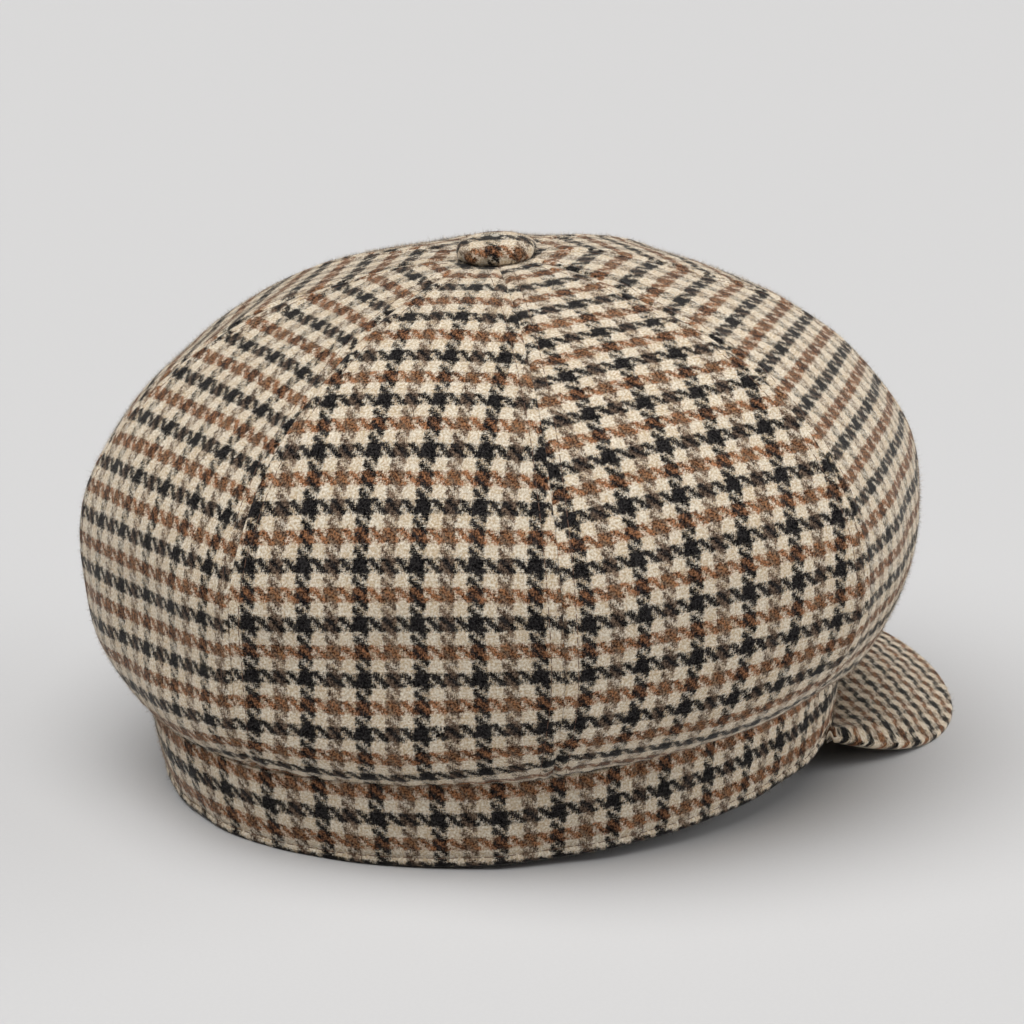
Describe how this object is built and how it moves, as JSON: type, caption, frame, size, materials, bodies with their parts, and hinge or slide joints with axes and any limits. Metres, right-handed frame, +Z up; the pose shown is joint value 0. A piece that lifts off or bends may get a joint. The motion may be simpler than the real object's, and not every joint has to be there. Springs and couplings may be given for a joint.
{
  "type": "baker boy cap",
  "caption": "Baker boy cap in checked wool tweed: a full round crown of gored panels over a plain head band, with a short stiff peak and a covered button on top.",
  "frame": {"origin": "on the floor under the middle of the cap's box, the cap lying on the back of its band and the edge of its peak", "axes": "+Z up; -Y toward the peak, the front of the cap; -X toward the wearer's right; the cap is mirrored about X = 0"},
  "size_m": [0.2446, 0.2756, 0.1526],
  "materials": {
    "tweed": "woollen twill, matt and slightly fuzzy, in a gun-club check of black, cream and brown"
  },
  "bodies": {
    "root": {"crown_panel_right_1": "tweed", "crown_panel_right_2": "tweed", "crown_panel_right_3": "tweed", "crown_panel_right_4": "tweed", "crown_panel_left_1": "tweed", "crown_panel_left_2": "tweed", "crown_panel_left_3": "tweed", "crown_panel_left_4": "tweed", "band": "tweed", "peak": "tweed", "button": "tweed"}
  },
  "joints": []
}
